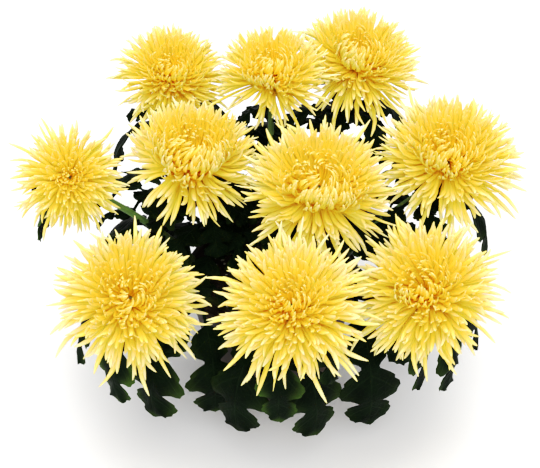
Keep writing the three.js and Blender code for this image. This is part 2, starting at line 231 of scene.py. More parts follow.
class Leaf:
    """A leaf's rib, bowing over from lift rise to lift fall, and the surface that hangs from it."""

    def __init__(self, root, turn, rise, fall, length, width):
        self.turn, self.rise, self.fall, self.length, self.width = turn, rise, fall, length, width
        lifts = self.lift((np.arange(RIB_STEPS) + 0.5) / RIB_STEPS)
        strides = heading(np.full(RIB_STEPS, float(turn)), lifts) * length / RIB_STEPS
        self.rib = np.vstack([root, root + np.cumsum(strides, axis=0)])
        self.side = heading(turn + 90.0, 0.0)

    def lift(self, share):
        return mix(self.rise, self.fall, np.minimum(1, BOW_RATE * share))

    def on_rib(self, share):
        place = np.clip(share, 0, 1) * RIB_STEPS
        steps = np.arange(RIB_STEPS + 1)
        return np.stack([np.interp(place, steps, self.rib[:, k]) for k in range(3)], axis=-1)

    def normal(self, share):
        return heading(np.full(np.shape(share), float(self.turn)), self.lift(share) + 90)

    def surface(self, reach, sweep, out, sag=1.0):
        """Points at a reach down the rib, swept on to the tip, and out from it by signed half-widths."""
        middle = self.on_rib(reach + sweep)
        away = (out * self.width)[..., None]
        hang = (LEAF_SAG * sag * np.abs(out) * self.width)[..., None]
        return middle + away * self.side - hang * self.normal(reach)

    def plan_points(self):
        """The spread of points by which a leaf's room is judged."""
        rows = [self.surface(PLAN_REACH, PLAN_SWEEP, PLAN_HALF), self.on_rib(PLAN_REACH),
                self.surface(PLAN_REACH, PLAN_SWEEP, -PLAN_HALF)]
        rows = np.stack(rows, axis=1)
        halfway = (rows[1:] + rows[:-1]) / 2
        stacked = np.stack([halfway, rows[1:]], axis=1).reshape(-1, 3, 3)
        left, rib, right = stacked[:, 0], stacked[:, 1], stacked[:, 2]
        return np.stack([left, (left + rib) / 2, rib, (rib + right) / 2, right], axis=1).reshape(-1, 3)


def taken(points):
    """Whether any point is where no leaf can be: in the pot or soil, too low, or among florets."""
    around = np.hypot(points[:, 0], points[:, 1])
    wall = mix(POT_FOOT, POT_MOUTH, points[:, 2] / POT_HEIGHT) + POT_LIP + POT_CLEARANCE
    in_pot = (points[:, 2] < POT_HEIGHT + POT_CLEARANCE) & (around < wall)
    if np.any(points[:, 2] < LEAF_FLOOR) or np.any(in_pot):
        return True
    away = points[:, None] - BLOOM_CENTRES
    heights = np.sum(away * BLOOM_AXES, axis=2)
    out = np.sqrt(np.maximum(np.sum(away * away, axis=2) - heights * heights, 0))
    beside = out < BLOOM_REACHES + BESIDE_BLOOM
    return bool(np.any(beside & (heights > -UNDER_BLOOM - BLOOM_SLOPE * out)))


def too_near(points, others, least):
    gaps = points[:, None, :] - others[None, :, :]
    return bool(np.any(np.sum(gaps * gaps, axis=2) < least * least))


def boxes_meet(points, others, margin):
    low, high = points.min(axis=0) - margin, points.max(axis=0) + margin
    return bool(np.all(others.max(axis=0) > low) and np.all(others.min(axis=0) < high))


BLOOM_CENTRES = np.array([plant.centre for plant in plants])
BLOOM_AXES = np.array([plant.axis for plant in plants])
BLOOM_REACHES = np.array([plant.reach for plant in plants])
STEM_POINTS = np.vstack([plant.along_stem(np.arange(25) / 24) for plant in plants])


def grow_leaf(root, wanted, tier, placed, from_leaf=LEAF_CLEARANCE, from_stem=STEM_CLEARANCE):
    """The first way of growing a leaf from a root that has room, or nothing."""
    _, _, rise, fall, length, width = tier
    for shrink in SHRINKS:
        for droop in DROOPS:
            for swing in SWINGS:
                lowest = max(fall - droop, STEEPEST)
                leaf = Leaf(root, wanted + swing, rise - droop, lowest, length * shrink, width * shrink)
                points = leaf.plan_points()
                if taken(points) or too_near(points[5:], STEM_POINTS, from_stem):
                    continue
                close = [other for other in placed if boxes_meet(points, other, from_leaf)]
                if close and too_near(points, np.vstack(close), from_leaf):
                    continue
                placed.append(points)
                return leaf
    return None


def grow_leaves():
    """Every stem's leaves, tier by tier and the front stems first."""
    placed = []
    grown = [[] for _ in plants]
    for level in range(len(TIERS)):
        for plant in sorted(plants, key=lambda each: each.centre[1]):
            middle = math.hypot(plant.centre[0], plant.centre[1]) < MIDDLE_REACH
            tiers = MIDDLE_TIERS if middle else TIERS
            if level >= len(tiers):
                continue
            outward = math.degrees(math.atan2(plant.centre[1], plant.centre[0]))
            for wanted in tiers[level][1]:
                leaves = grown[plant.index]
                if len(leaves) == MOST_LEAVES:
                    break
                root = plant.along_stem(tiers[level][0] + ROOT_STEP * len(leaves))
                leaf = grow_leaf(root, outward + wanted, tiers[level], placed)
                if leaf:
                    leaves.append(leaf)
    for plant in plants:
        for k in range(SMALL_LEAVES):
            up = k / SMALL_LEAVES
            share = mix(*SMALL_SPREAD, up)
            tier = (share, (), SMALL_RISE, mix(*SMALL_FALL, up), mix(*SMALL_LENGTH, up), SMALL_WIDTH)
            turn = SMALL_TURN * plant.index + GOLDEN_ANGLE * k
            root = plant.along_stem(share)
            leaf = grow_leaf(root, turn, tier, placed, SMALL_CLEARANCE, SMALL_CLEARANCE + 1)
            if leaf:
                grown[plant.index].append(leaf)
    return grown


# Shader helpers.
def new_material(name):
    made = bpy.data.materials.new(name)
    made.use_nodes = True
    return made, made.node_tree, made.node_tree.nodes["Principled BSDF"]


def new_group(name, inputs, outputs):
    """A node group with named sockets, and the sockets inside it for what goes in and what comes out."""
    group = bpy.data.node_groups.new(name, "ShaderNodeTree")
    for direction, sockets in (("INPUT", inputs), ("OUTPUT", outputs)):
        for socket, kind in sockets:
            group.interface.new_socket(socket, in_out=direction, socket_type=f"NodeSocket{kind}")
    return group, group.nodes.new("NodeGroupInput").outputs, group.nodes.new("NodeGroupOutput").inputs


def add(tree, kind, inputs=None, **settings):
    """A node with its settings, and its inputs set to values or linked to other nodes' sockets."""
    node = tree.nodes.new(kind)
    for key, value in settings.items():
        setattr(node, key, value)
    for key, value in (inputs or {}).items():
        socket = node.inputs[key]
        if isinstance(value, bpy.types.NodeSocket):
            tree.links.new(value, socket)
        else:
            socket.default_value = value
    return node


def math_node(tree, operation, *operands, clamp=False):
    node = add(tree, "ShaderNodeMath", dict(enumerate(operands)), operation=operation, use_clamp=clamp)
    return node.outputs[0]


def noise(tree, where, scale, detail, roughness=0.5):
    inputs = {"Vector": where, "Scale": scale, "Detail": detail, "Roughness": roughness}
    return add(tree, "ShaderNodeTexNoise", inputs).outputs["Fac"]


def stretch(tree, where, scales):
    """A place with each of its coordinates scaled."""
    return add(tree, "ShaderNodeVectorMath", {0: where, 1: scales}, operation="MULTIPLY").outputs[0]


def parts_of(tree, vector):
    """The X, Y and Z of a vector."""
    return add(tree, "ShaderNodeSeparateXYZ", {0: vector}).outputs


def own_map(tree, name):
    """One of a piece's own UV maps."""
    return add(tree, "ShaderNodeUVMap", uv_map=name).outputs[0]


def own_place(tree):
    """The place on a piece, in metres."""
    return add(tree, "ShaderNodeTexCoord").outputs["Object"]


def ramp(tree, value, *stops):
    """A colour ramp from (place, colour) stops."""
    node = add(tree, "ShaderNodeValToRGB", {0: value})
    band = node.color_ramp
    while len(band.elements) < len(stops):
        band.elements.new(0.5)
    for element, (place, colour) in zip(band.elements, stops):
        element.position = place
        element.color = (*colour, 1)
    return node.outputs["Color"]


def blend(tree, a, b, factor, mode="MIX"):
    node = add(tree, "ShaderNodeMix", data_type="RGBA", blend_type=mode)
    for key, value in (("Factor", factor), ("A", a), ("B", b)):
        socket = next(each for each in node.inputs if each.name == key and each.enabled)
        if isinstance(value, bpy.types.NodeSocket):
            tree.links.new(value, socket)
        else:
            socket.default_value = value if key == "Factor" else (*value, 1)
    return next(each for each in node.outputs if each.enabled)


def grey(value):
    return (value, value, value)


def set_bump(tree, shader, height, strength, distance):
    bump = add(tree, "ShaderNodeBump", {"Height": height, "Strength": strength, "Distance": distance})
    tree.links.new(bump.outputs[0], shader.inputs["Normal"])


def fine_streaks():
    """A group: streaks along a strip, mapped across in X and along in Y, different at each offset."""
    given = (("Map", "Vector"), ("Offset", "Float"), ("Fineness", "Float"), ("Length", "Float"))
    group, start, end = new_group("fine streaks", given, (("Streak", "Float"),))
    strip = parts_of(group, start["Map"])
    across = math_node(group, "MULTIPLY", strip["X"], start["Fineness"])
    along = math_node(group, "MULTIPLY", strip["Y"], start["Length"])
    shift = math_node(group, "MULTIPLY", start["Offset"], 57.0)
    spot = add(group, "ShaderNodeCombineXYZ", {0: across, 1: along, 2: shift}).outputs[0]
    group.links.new(noise(group, spot, 1.0, 2.0, 0.55), end["Streak"])
    return group


# The places down a leaf's blade where its side veins leave the rib.
VEINS_AT = (0.33, 0.55, 0.79)


def leaf_veins():
    """A group: masks of a leaf's main veins and of its net of fine ones, from its map."""
    group, start, end = new_group("leaf veins", (("Map", "Vector"),), (("Main", "Float"), ("Net", "Float")))
    spot = parts_of(group, start["Map"])
    centred = math_node(group, "MULTIPLY", math_node(group, "SUBTRACT", spot["X"], 0.5), 2.0)
    out = math_node(group, "ABSOLUTE", centred)
    main = math_node(group, "SUBTRACT", 1.0, math_node(group, "DIVIDE", out, 0.06), clamp=True)
    for place in VEINS_AT:
        leaning = math_node(group, "ADD", spot["Y"], math_node(group, "MULTIPLY", out, -0.02))
        gap = math_node(group, "ABSOLUTE", math_node(group, "SUBTRACT", leaning, place))
        width = math_node(group, "MULTIPLY_ADD", out, -0.007, 0.011)
        side = math_node(group, "SUBTRACT", 1.0, math_node(group, "DIVIDE", gap, width), clamp=True)
        main = math_node(group, "MAXIMUM", main, math_node(group, "MULTIPLY", side, 0.8))
    inputs = {"Vector": stretch(group, start["Map"], (9.0, 26.0, 1.0)), "Scale": 1.0}
    cells = add(group, "ShaderNodeTexVoronoi", inputs, feature="DISTANCE_TO_EDGE").outputs["Distance"]
    net = math_node(group, "SUBTRACT", 1.0, math_node(group, "DIVIDE", cells, 0.12), clamp=True)
    group.links.new(main, end["Main"])
    group.links.new(net, end["Net"])
    return group


def soil_grain():
    """A group: the clumps that mottle loose peat, and the height of its clumps and grains."""
    given = (("Place", "Vector"),)
    group, start, end = new_group("soil grain", given, (("Clumps", "Float"), ("Height", "Float")))
    clumps = noise(group, start["Place"], 160.0, 6.0, 0.7)
    grains = noise(group, start["Place"], 900.0, 3.0)
    height = math_node(group, "ADD", clumps, math_node(group, "MULTIPLY", grains, 0.5))
    group.links.new(clumps, end["Clumps"])
    group.links.new(height, end["Height"])
    return group


STREAKS = fine_streaks()
VEINS = leaf_veins()
GRAIN = soil_grain()


def petal_material():
    """Yellow floret: gold where it is rooted, clear yellow along it and a pale tip, finely streaked."""
    made, tree, shader = new_material("petal")
    strip = own_map(tree, "strip")
    grow = parts_of(tree, own_map(tree, "growth"))
    age, shade = grow["X"], grow["Y"]
    inputs = {"Map": strip, "Offset": shade, "Fineness": 9.0, "Length": 1.3}
    streak = add(tree, "ShaderNodeGroup", inputs, node_tree=STREAKS).outputs["Streak"]
    wander = math_node(tree, "MULTIPLY", math_node(tree, "SUBTRACT", shade, 0.5), 0.22)
    along = math_node(tree, "ADD", parts_of(tree, strip)["Y"], wander)
    outer = ramp(tree, along,
                 (0.0, (0.97, 0.765, 0.06)), (0.25, (0.98, 0.775, 0.08)), (0.55, (0.98, 0.78, 0.10)),
                 (0.8, (0.95, 0.785, 0.19)), (0.97, (0.88, 0.80, 0.34)))
    inner = ramp(tree, along,
                 (0.0, (0.98, 0.685, 0.04)), (0.35, (0.99, 0.725, 0.06)), (0.75, (0.99, 0.75, 0.10)),
                 (0.97, (0.98, 0.77, 0.19)))
    colour = blend(tree, outer, inner, math_node(tree, "MULTIPLY", age, 1.15, clamp=True))
    lines = ramp(tree, streak, (0.3, (0.99, 0.94, 0.8)), (0.62, grey(1.0)))
    colour = blend(tree, colour, lines, 0.6, "MULTIPLY")
    tint = ramp(tree, shade, (0.0, (1.0, 0.96, 0.85)), (0.5, grey(1.0)))
    tree.links.new(blend(tree, colour, tint, 0.8, "MULTIPLY"), shader.inputs["Base Color"])
    tree.links.new(ramp(tree, streak, (0.3, grey(0.5)), (0.7, grey(0.64))), shader.inputs["Roughness"])
    set_bump(tree, shader, streak, 0.4, 0.0003)
    shader.inputs["Subsurface Weight"].default_value = 0.25
    shader.inputs["Subsurface Radius"].default_value = (1.0, 0.85, 0.25)
    shader.inputs["Subsurface Scale"].default_value = 0.001
    shader.inputs["Specular IOR Level"].default_value = 0.25
    return made


def leaf_material(name, low, high, vein, tip, gloss):
    """Leaf green between two shades, with paler veins and yellower lobe tips."""
    made, tree, shader = new_material(name)
    grow = parts_of(tree, own_map(tree, "growth"))
    light, edge = grow["X"], grow["Y"]
    veins = add(tree, "ShaderNodeGroup", {"Map": own_map(tree, "strip")}, node_tree=VEINS).outputs
    patches = noise(tree, own_place(tree), 55.0, 3.0)
    colour = ramp(tree, patches, (0.35, low), (0.68, high))
    colour = blend(tree, colour, vein, math_node(tree, "MULTIPLY", veins["Net"], 0.16))
    colour = blend(tree, colour, vein, math_node(tree, "MULTIPLY", veins["Main"], 0.55))
    rim = math_node(tree, "MULTIPLY", edge, light)
    rim = math_node(tree, "MULTIPLY", rim, math_node(tree, "ADD", patches, 0.45), clamp=True)
    tree.links.new(blend(tree, colour, tip, rim), shader.inputs["Base Color"])
    rough = ramp(tree, patches, (0.3, grey(gloss)), (0.7, grey(gloss + 0.14)))
    tree.links.new(rough, shader.inputs["Roughness"])
    height = math_node(tree, "MULTIPLY", veins["Main"], -1.0)
    height = math_node(tree, "SUBTRACT", height, math_node(tree, "MULTIPLY", veins["Net"], 0.45))
    set_bump(tree, shader, height, 0.7, 0.0006)
    shader.inputs["Specular IOR Level"].default_value = 0.035
    return made


def stem_material():
    """Green stem, finely speckled, browner towards the soil."""
    made, tree, shader = new_material("stem")
    where = own_place(tree)
    speckle = noise(tree, where, 240.0, 4.0)
    share = math_node(tree, "MULTIPLY_ADD", parts_of(tree, where)["Z"], 14.0, -1.25)
    share = math_node(tree, "ADD", share, math_node(tree, "MULTIPLY", speckle, 0.3))
    colour = ramp(tree, share, (0.1, (0.07, 0.055, 0.018)), (0.5, (0.045, 0.085, 0.018)),
                  (0.95, (0.075, 0.15, 0.03)))
    tree.links.new(colour, shader.inputs["Base Color"])
    tree.links.new(ramp(tree, speckle, (0.3, grey(0.45)), (0.7, grey(0.62))), shader.inputs["Roughness"])
    set_bump(tree, shader, speckle, 0.35, 0.0004)
    return made


def pot_material():
    """Matte dark plastic: faint moulding streaks, scuffs and dried splashes of soil near the foot."""
    made, tree, shader = new_material("pot plastic")
    where = own_place(tree)
    drawn = noise(tree, stretch(tree, where, (1.0, 1.0, 0.06)), 420.0, 2.0)
    grain = noise(tree, where, 900.0, 2.0)
    marks = noise(tree, where, 38.0, 6.0, 0.65)
    colour = ramp(tree, drawn, (0.35, (0.020, 0.013, 0.010)), (0.65, (0.030, 0.020, 0.015)))
    low = math_node(tree, "DIVIDE", parts_of(tree, where)["Z"], 0.07)
    low = math_node(tree, "SUBTRACT", 1.0, low, clamp=True)
    dust = math_node(tree, "MULTIPLY", math_node(tree, "SUBTRACT", marks, 0.5, clamp=True),
                     math_node(tree, "MULTIPLY_ADD", low, 3.0, 0.5), clamp=True)
    dust = math_node(tree, "MULTIPLY", dust, 0.8, clamp=True)
    tree.links.new(blend(tree, colour, (0.16, 0.11, 0.075), dust), shader.inputs["Base Color"])
    tree.links.new(ramp(tree, marks, (0.3, grey(0.42)), (0.7, grey(0.62))), shader.inputs["Roughness"])
    shader.inputs["Specular IOR Level"].default_value = 0.3
    height = math_node(tree, "MULTIPLY", drawn, 0.6)
    height = math_node(tree, "ADD", height, math_node(tree, "MULTIPLY", grain, 0.4))
    set_bump(tree, shader, height, 0.3, 0.0003)
    return made


def soil_material(name, dark, pale):
    """Damp loose peat, or the bits in it: mottled between two colours, rough and grainy."""
    made, tree, shader = new_material(name)
    grain = add(tree, "ShaderNodeGroup", {"Place": own_place(tree)}, node_tree=GRAIN).outputs
    tree.links.new(ramp(tree, grain["Clumps"], (0.32, dark), (0.7, pale)), shader.inputs["Base Color"])
    shader.inputs["Roughness"].default_value = 0.95
    set_bump(tree, shader, grain["Height"], 0.8, 0.0012)
    return made


def plain_material(name, colour, roughness):
    made, _, shader = new_material(name)
    shader.inputs["Base Color"].default_value = (*colour, 1)
    shader.inputs["Roughness"].default_value = roughness
    return made


PETAL = petal_material()
LEAF_TOP = leaf_material("leaf upper side", (0.0012, 0.0042, 0.0012), (0.0033, 0.0105, 0.0028),
                         (0.0085, 0.02, 0.0065), (0.06, 0.11, 0.018), 0.5)
LEAF_UNDER = leaf_material("leaf underside", (0.004, 0.011, 0.004), (0.009, 0.02, 0.007),
                           (0.018, 0.036, 0.013), (0.06, 0.11, 0.025), 0.62)
RECEPTACLE_GREEN = plain_material("receptacle", (0.16, 0.22, 0.035), 0.6)
STEM = stem_material()
POT_PLASTIC = pot_material()
PEAT = soil_material("peat", (0.010, 0.006, 0.004), (0.055, 0.033, 0.019))
BARK = soil_material("bark bits", (0.045, 0.022, 0.010), (0.14, 0.075, 0.035))
PERLITE = soil_material("perlite", (0.45, 0.43, 0.38), (0.75, 0.73, 0.68))


def finish_piece(name, bm, materials, node):
    """A mesh, built in millimetres, as a piece that stands for a CAD node."""
    bmesh.ops.scale(bm, vec=(MM, MM, MM), verts=bm.verts)
    made = bpy.data.meshes.new(name)
    bm.to_mesh(made)
    bm.free()
    for material in materials:
        made.materials.append(material)
    piece = bpy.data.objects.new(name, made)
    bpy.context.scene.collection.objects.link(piece)
    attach(piece, "root")
    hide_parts(node)
    return piece


class Strip:
    """A small mesh that is bent and laid down many times, with its vertices' places while it is flat."""

    def __init__(self, bm):
        self.mesh = bpy.data.meshes.new("template")
        bm.to_mesh(self.mesh)
        bm.free()
        count = len(self.mesh.vertices)
        self.flat = np.empty(count * 3)
        self.mesh.vertices.foreach_get("co", self.flat)
        self.flat = self.flat.reshape(count, 3)
        self.corners = np.empty(len(self.mesh.loops), dtype=np.int32)
        self.mesh.loops.foreach_get("vertex_index", self.corners)

    def lay(self, bm, points, growth):
        """Adds a copy with its vertices at points, with growth values for each vertex or one pair."""
        self.mesh.vertices.foreach_set("co", np.ascontiguousarray(points, dtype=np.float32).ravel())
        spread = np.broadcast_to(growth, (len(self.flat), 2))[self.corners]
        spread = np.ascontiguousarray(spread, dtype=np.float32)
        self.mesh.uv_layers["growth"].data.foreach_set("uv", spread.ravel())
        bm.from_mesh(self.mesh)


def map_strip(bm, across_half):
    """The two maps of a template: across and along from its flat shape, and an empty one for its growth."""
    strip = bm.loops.layers.uv.new("strip")
    bm.loops.layers.uv.new("growth")
    for face in bm.faces:
        face.smooth = True
        for corner in face.loops:
            place = corner.vert.co
            corner[strip].uv = (0.5 + 0.5 * place.x / across_half, place.y)


def empty_bmesh():
    bm = bmesh.new()
    bm.loops.layers.uv.new("strip")
    bm.loops.layers.uv.new("growth")
    return bm


# A floret's template: a closed ring carried along the floret. X is the place across it, from -1 to 1, Y is
# the share of its length, and Z is 0 on its inner face and -1 on its outer face.
RING = ((-1, -0.5), (-0.42, 0), (0.42, 0), (1, -0.5), (0.6, -1), (0, -1), (-0.6, -1))
LONG_STATIONS = (0, 0.2, 0.4, 0.6, 0.77, 0.89, 0.965, 1)
SHORT_STATIONS = (0, 0.3, 0.58, 0.8, 0.94, 1)


def floret_template(stations):
    """The ring of a floret carried through stations along it, closed at both ends."""
    bm = bmesh.new()
    ring = bmesh.ops.create_circle(bm, segments=len(RING), radius=1)["verts"]
    for vert, (across, depth) in zip(ring, RING):
        vert.co = (across, 0, depth)
    edges = bm.edges[:]
    bmesh.ops.holes_fill(bm, edges=edges)
    for before, after in zip(stations, stations[1:]):
        grown = bmesh.ops.extrude_edge_only(bm, edges=edges)["geom"]
        edges = [each for each in grown if isinstance(each, bmesh.types.BMEdge)]
        verts = [each for each in grown if isinstance(each, bmesh.types.BMVert)]
        bmesh.ops.translate(bm, vec=(0, after - before, 0), verts=verts)
    bmesh.ops.holes_fill(bm, edges=edges)
    bmesh.ops.recalc_face_normals(bm, faces=bm.faces)
    map_strip(bm, 1)
    return Strip(bm)


LONG_FLORET = floret_template(LONG_STATIONS)
SHORT_FLORET = floret_template(SHORT_STATIONS)
SHORT_FROM = 0.4

# How a floret's form goes with its age, from 0 at the outermost row to 1 at the heart: the lift and the
# distance of its tip from the bloom's middle, as a share of the reach, how far it bends up, and its
# half-width. Distance and bend go over to the second pair as a bloom's heart is more tightly curled.
AGES = (0, 0.1, 0.25, 0.5, 0.75, 0.9, 1)
TIP_LIFT = (-12, -4, 9, 26, 46, 63, 84)
TIP_DISTANCE = (1.0, 0.89, 0.80, 0.72, 0.62, 0.53, 0.42)
BALL_DISTANCE = (1.0, 0.88, 0.82, 0.79, 0.74, 0.66, 0.54)
BEND = (-30, -22, -6, 18, 40, 54, 70)
BALL_BEND = (-30, -18, 10, 52, 90, 112, 130)
HALF_WIDTH = (1.45, 1.65, 1.82, 1.85, 1.72, 1.52, 1.15)
USUAL_REACH = 66
FLORET_THICKNESS = 0.45
LINE_STEPS = 14
RECEPTACLE = 9
RECEPTACLE_HEIGHT = 10
ROOT_LIFT = (-12.0, 82.0)

# Florets for each millimetre of a bloom's reach. A thinning of 1 spaces their ages evenly, and less than 1
# sets the outermost ones further apart.
FLORETS_PER_REACH = 8.0
OUTER_THINNING = 0.82

# How many degrees the outer florets sag to the side under their weight, and the heart's florets swirl.
GRAVITY = 20
SWIRL = 26

# How far one floret differs from the next: in its length, as a share, for the outermost and for the others,
# in degrees of bend, lift, drift, sway, twist and hook at the tip, and in width and roll, as factors.
LENGTH_SPREAD = (0.24, 0.1)
BEND_SPREAD = 8
LIFT_SPREAD = 4
DRIFT_SPREAD = 9
SWAY_SPREAD = 13
TWIST_SPREAD = 26
HOOKS = (-14, 40)
WIDTH_SPREAD = (0.84, 1.12)
ROLL_SPREAD = (0.7, 1.2)

# A floret that isn't clear is raised or lowered by these degrees, then cut to these shares of its length.
RAISES = (0, 8, -8, 16, 26, 38)
CUTS = np.arange(1.0, 0.3, -0.06)

# Florets stay above a cone round the calyx: how far it starts under the bloom's middle, and its slope.
UNDERSIDE = 5.5
UNDERSIDE_SLOPE = 0.38

# Half-width of a floret along its length, and how many degrees its sides roll up round it.
WIDTH_ALONG = ((0, 0.3, 0.6, 0.78, 0.89, 0.96, 1), (0.45, 0.78, 1.0, 0.97, 0.74, 0.45, 0.14))
ROLL_ALONG = ((0, 0.35, 0.75, 1), (150, 118, 86, 60))


def floret_lines(plant, age, turn, draw):
    """The centre lines of a bloom's florets, their turns about its axis, and which of them found room."""
    count = len(age)

    def travelled(strides):
        """How far each floret has gone at each step, from 0 at its root."""
        return np.hstack([np.zeros((count, 1)), np.cumsum(strides, axis=1)])

    root_lift = np.radians(mix(*ROOT_LIFT, age))
    root_out = RECEPTACLE * np.cos(root_lift)
    root_rise = 1 + RECEPTACLE_HEIGHT * np.sin(root_lift)
    distance = mix(np.interp(age, AGES, TIP_DISTANCE), np.interp(age, AGES, BALL_DISTANCE), plant.curl)
    varied = draw.uniform(-1, 0.4, count) * mix(*LENGTH_SPREAD, np.minimum(1, 3 * age))
    length = plant.reach * distance * (1 + varied) - RECEPTACLE
    bend = mix(np.interp(age, AGES, BEND), np.interp(age, AGES, BALL_BEND), plant.curl)
    bend = bend + draw.normal(0, BEND_SPREAD, count)
    start = np.interp(age, AGES, TIP_LIFT) - bend / 3 + draw.normal(0, LIFT_SPREAD, count)
    hook = draw.uniform(*HOOKS, count) * (1 - 0.7 * age)
    sagging = -GRAVITY * np.cos(np.radians(turn)) * plant.up[2] * (1 - age)
    swirl = SWIRL * np.maximum(0, age - 0.7) / 0.3
    sideways = draw.normal(0, DRIFT_SPREAD, count) + swirl + sagging
    sway = draw.normal(0, SWAY_SPREAD, count)
    steps = np.arange(LINE_STEPS + 1) / LINE_STEPS
    middle = (np.arange(LINE_STEPS) + 0.5) / LINE_STEPS
    edge = HALF_WIDTH[0] * np.interp(steps, *WIDTH_ALONG)
    lines = np.zeros((count, LINE_STEPS + 1, 3))
    azimuths = np.zeros((count, LINE_STEPS + 1))
    waiting = np.ones(count, bool)
    for cut in CUTS:
        for raised in RAISES:
            lift = start[:, None] + raised * np.sqrt(middle) + bend[:, None] * middle ** 2
            lift = np.radians(lift + hook[:, None] * np.maximum(0, (middle - 0.72) / 0.28) ** 2)
            stride = (length * cut / LINE_STEPS)[:, None]
            drift = np.radians(sideways[:, None] * middle + sway[:, None] * np.sin(4.2 * middle))
            out = root_out[:, None] + travelled(stride * np.cos(lift))
            rise = root_rise[:, None] + travelled(stride * np.sin(lift))
            side = travelled(stride * np.sin(drift))
            azimuth = np.radians(turn)[:, None] + side / np.maximum(np.abs(out), 8)
            points = plant.place(out, azimuth, rise)
            room = plant.room(points) - edge - BLOOM_MARGIN
            above = rise + UNDERSIDE + UNDERSIDE_SLOPE * np.abs(out)
            clear = np.all((room > 0) | (steps < 0.3), axis=1) & np.all(above > 0, axis=1)
            fits = waiting & clear
            lines[fits], azimuths[fits] = points[fits], azimuth[fits]
            waiting &= ~clear
    return lines[~waiting], azimuths[~waiting], ~waiting


def frames_along(plant, lines, azimuths, twist):
    """The side and the inner normal of each floret at each step, turned by its twist."""
    run = unit(np.gradient(lines, axis=1))
    around = -np.sin(azimuths)[..., None] * plant.across + np.cos(azimuths)[..., None] * plant.up
    side = unit(around - run * np.sum(around * run, axis=-1, keepdims=True))
    inner = np.cross(side, run)
    turn = twist[:, None] * np.linspace(0, 1, lines.shape[1])[None, :] ** 1.5
    c, s = np.cos(turn)[..., None], np.sin(turn)[..., None]
    return side * c + inner * s, inner * c - side * s


def along_lines(values, place):
    """Values known at each step, read at places between the steps."""
    spot = place * LINE_STEPS
    low = np.minimum(spot.astype(int), LINE_STEPS - 1)
    t = (spot - low)[None, :, None]
    return values[:, low] * (1 - t) + values[:, low + 1] * t


def floret_points(template, lines, side, inner, half_width, draw):
    """The vertices of florets along their lines: a trough, rolled up at the root and flatter at the tip."""
    across, place, depth = template.flat.T
    middle = along_lines(lines, place)
    side, inner = unit(along_lines(side, place)), unit(along_lines(inner, place))
    half = half_width[:, None] * np.interp(place, *WIDTH_ALONG)[None, :]
    roll = np.radians(np.interp(place, *ROLL_ALONG))[None, :]
    roll = roll * draw.uniform(*ROLL_SPREAD, len(lines))[:, None] / 2
    radius = half / roll
    reach = radius - depth * FLORET_THICKNESS * np.interp(place, (0, 0.9, 1), (1, 1, 0.5))
    x = reach * np.sin(roll * across)
    z = radius - reach * np.cos(roll * across)
    return middle + x[..., None] * side + z[..., None] * inner


BLOOM_SEED = 400


def bloom_piece(plant):
    """A bloom: rolled florets round a small receptacle, long outside, short and curled in the heart."""
    draw = np.random.default_rng(BLOOM_SEED + plant.index)
    count = int(FLORETS_PER_REACH * plant.reach)
    age = ((np.arange(count) + 0.5) / count) ** OUTER_THINNING
    lines, azimuths, kept = floret_lines(plant, age, np.arange(count) * GOLDEN_ANGLE, draw)
    age = age[kept]
    twist = np.radians(draw.normal(0, TWIST_SPREAD, len(lines)))
    side, inner = frames_along(plant, lines, azimuths, twist)
    half_width = np.interp(age, AGES, HALF_WIDTH) * plant.reach / USUAL_REACH
    half_width = half_width * draw.uniform(*WIDTH_SPREAD, len(age))
    shade = draw.uniform(0, 1, len(age))
    bm = empty_bmesh()
    for template, chosen in ((LONG_FLORET, age < SHORT_FROM), (SHORT_FLORET, age >= SHORT_FROM)):
        laid = [each[chosen] for each in (lines, side, inner, half_width)]
        points = floret_points(template, *laid, draw)
        for floret, old, tone in zip(points, age[chosen], shade[chosen]):
            template.lay(bm, floret, (old, tone))
    add_receptacle(bm, plant)
    bmesh.ops.recalc_face_normals(bm, faces=bm.faces)
    node = f"bloom_{plant.number}"
    return finish_piece(f"{node}_florets", bm, [PETAL, RECEPTACLE_GREEN], node)


def add_receptacle(bm, plant):
    """The small green dome that a bloom's florets stand on, flat on the calyx."""
    flat = Matrix.Diagonal((RECEPTACLE + 1.5, RECEPTACLE + 1.5, RECEPTACLE_HEIGHT, 1))
    shape = bloom_matrix(plant) @ flat
    made = bmesh.ops.create_uvsphere(bm, u_segments=20, v_segments=12, radius=1, matrix=shape)
    for vert in made["verts"]:
        local = (Vector(vert.co) - Vector(plant.centre)).dot(Vector(plant.axis))
        if local < SEAT:
            vert.co += Vector(plant.axis) * (SEAT - local)
        for face in vert.link_faces:
            face.material_index = 1
            face.smooth = True


def bloom_matrix(plant):
    axes = Matrix((plant.across, plant.up, plant.axis)).transposed().to_4x4()
    return Matrix.Translation(plant.centre) @ axes


